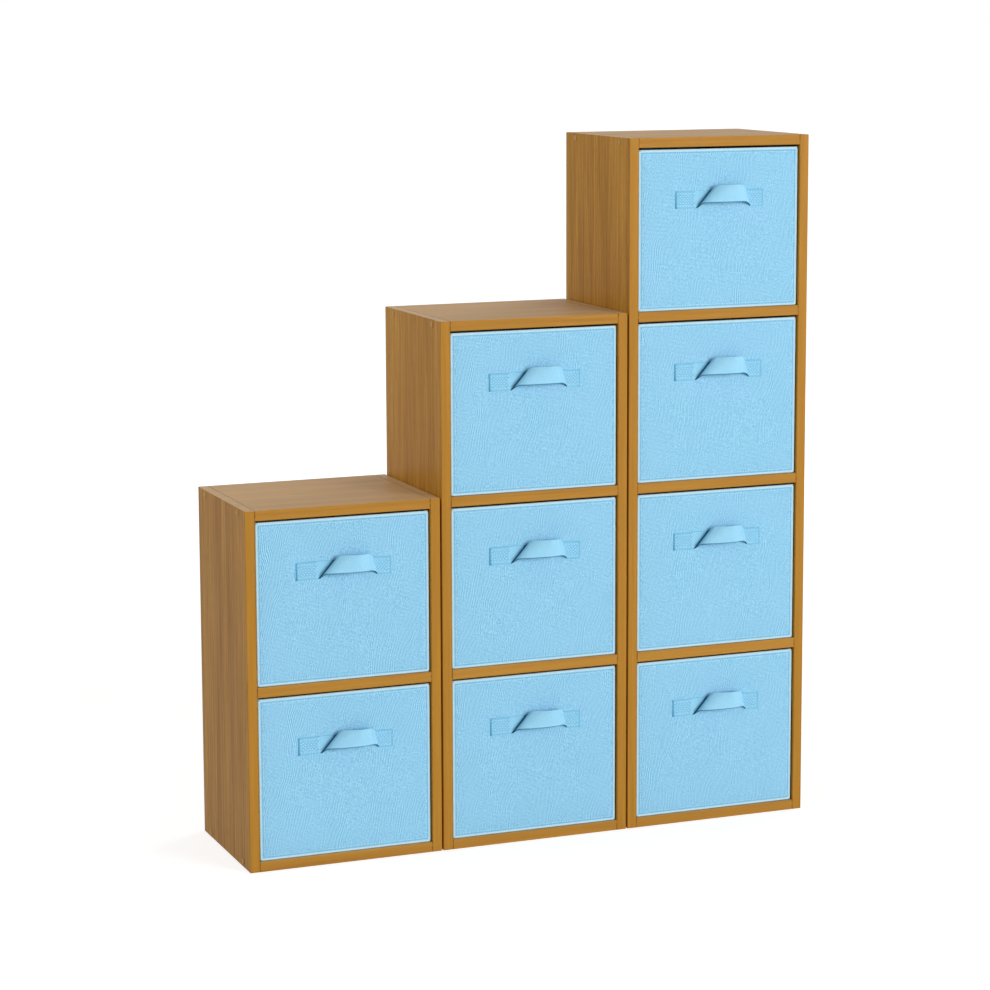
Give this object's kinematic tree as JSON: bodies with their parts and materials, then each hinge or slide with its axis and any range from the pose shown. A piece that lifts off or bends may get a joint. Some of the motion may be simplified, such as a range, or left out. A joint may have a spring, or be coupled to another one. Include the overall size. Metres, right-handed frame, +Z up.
{
  "type": "cube storage unit",
  "caption": "Stepped row of narrow open-front chipboard towers in rising heights, with a pull-out fabric box with a strap handle in every cell.",
  "frame": {"origin": "on the floor, under the middle of the middle tower's bottom board", "axes": "+X to the right along the row towards the tallest tower, +Y to the back, +Z up"},
  "size_m": [0.9078, 0.263, 1.06],
  "materials": {
    "beech_laminate": "beech-effect melamine laminate on chipboard, satin, with matching edge banding",
    "hardboard": "brown hardboard, matt",
    "zinc_steel": "zinc-plated steel",
    "cap_plastic": "beech-coloured moulded plastic",
    "dowel_wood": "raw fluted beech",
    "box_fabric": "light blue non-woven fabric with a fine upright texture",
    "stiffening_board": "grey-brown pressed board",
    "strap_webbing": "folded light blue fabric strap with box-and-cross stitching"
  },
  "bodies": {
    "cabinet": {"short_left_side": "beech_laminate", "short_right_side": "beech_laminate", "short_bottom": "beech_laminate", "short_top": "beech_laminate", "short_shelf_1": "beech_laminate", "short_back": "hardboard", "middle_left_side": "beech_laminate", "middle_right_side": "beech_laminate", "middle_bottom": "beech_laminate", "middle_top": "beech_laminate", "middle_shelf_1": "beech_laminate", "middle_shelf_2": "beech_laminate", "middle_back": "hardboard", "tall_left_side": "beech_laminate", "tall_right_side": "beech_laminate", "tall_bottom": "beech_laminate", "tall_top": "beech_laminate", "tall_shelf_1": "beech_laminate", "tall_shelf_2": "beech_laminate", "tall_shelf_3": "beech_laminate", "tall_back": "hardboard", "cabinet_screws": "zinc_steel", "screw_caps": "cap_plastic", "dowels": "dowel_wood"},
    "short_box_1": {"short_box_1_cover": "box_fabric", "short_box_1_side_boards": "stiffening_board", "short_box_1_base_board": "stiffening_board", "short_box_1_handle": "strap_webbing"},
    "short_box_2": {"short_box_2_cover": "box_fabric", "short_box_2_side_boards": "stiffening_board", "short_box_2_base_board": "stiffening_board", "short_box_2_handle": "strap_webbing"},
    "middle_box_1": {"middle_box_1_cover": "box_fabric", "middle_box_1_side_boards": "stiffening_board", "middle_box_1_base_board": "stiffening_board", "middle_box_1_handle": "strap_webbing"},
    "middle_box_2": {"middle_box_2_cover": "box_fabric", "middle_box_2_side_boards": "stiffening_board", "middle_box_2_base_board": "stiffening_board", "middle_box_2_handle": "strap_webbing"},
    "middle_box_3": {"middle_box_3_cover": "box_fabric", "middle_box_3_side_boards": "stiffening_board", "middle_box_3_base_board": "stiffening_board", "middle_box_3_handle": "strap_webbing"},
    "tall_box_1": {"tall_box_1_cover": "box_fabric", "tall_box_1_side_boards": "stiffening_board", "tall_box_1_base_board": "stiffening_board", "tall_box_1_handle": "strap_webbing"},
    "tall_box_2": {"tall_box_2_cover": "box_fabric", "tall_box_2_side_boards": "stiffening_board", "tall_box_2_base_board": "stiffening_board", "tall_box_2_handle": "strap_webbing"},
    "tall_box_3": {"tall_box_3_cover": "box_fabric", "tall_box_3_side_boards": "stiffening_board", "tall_box_3_base_board": "stiffening_board", "tall_box_3_handle": "strap_webbing"},
    "tall_box_4": {"tall_box_4_cover": "box_fabric", "tall_box_4_side_boards": "stiffening_board", "tall_box_4_base_board": "stiffening_board", "tall_box_4_handle": "strap_webbing"}
  },
  "joints": [
    {"name": "short_box_1_slide", "type": "slide", "parent": "cabinet", "child": "short_box_1", "axis": [0, -1, 0], "range_m": [0, 0.235]},
    {"name": "short_box_2_slide", "type": "slide", "parent": "cabinet", "child": "short_box_2", "axis": [0, -1, 0], "range_m": [0, 0.235]},
    {"name": "middle_box_1_slide", "type": "slide", "parent": "cabinet", "child": "middle_box_1", "axis": [0, -1, 0], "range_m": [0, 0.235]},
    {"name": "middle_box_2_slide", "type": "slide", "parent": "cabinet", "child": "middle_box_2", "axis": [0, -1, 0], "range_m": [0, 0.235]},
    {"name": "middle_box_3_slide", "type": "slide", "parent": "cabinet", "child": "middle_box_3", "axis": [0, -1, 0], "range_m": [0, 0.235]},
    {"name": "tall_box_1_slide", "type": "slide", "parent": "cabinet", "child": "tall_box_1", "axis": [0, -1, 0], "range_m": [0, 0.235]},
    {"name": "tall_box_2_slide", "type": "slide", "parent": "cabinet", "child": "tall_box_2", "axis": [0, -1, 0], "range_m": [0, 0.235]},
    {"name": "tall_box_3_slide", "type": "slide", "parent": "cabinet", "child": "tall_box_3", "axis": [0, -1, 0], "range_m": [0, 0.235]},
    {"name": "tall_box_4_slide", "type": "slide", "parent": "cabinet", "child": "tall_box_4", "axis": [0, -1, 0], "range_m": [0, 0.235]}
  ]
}
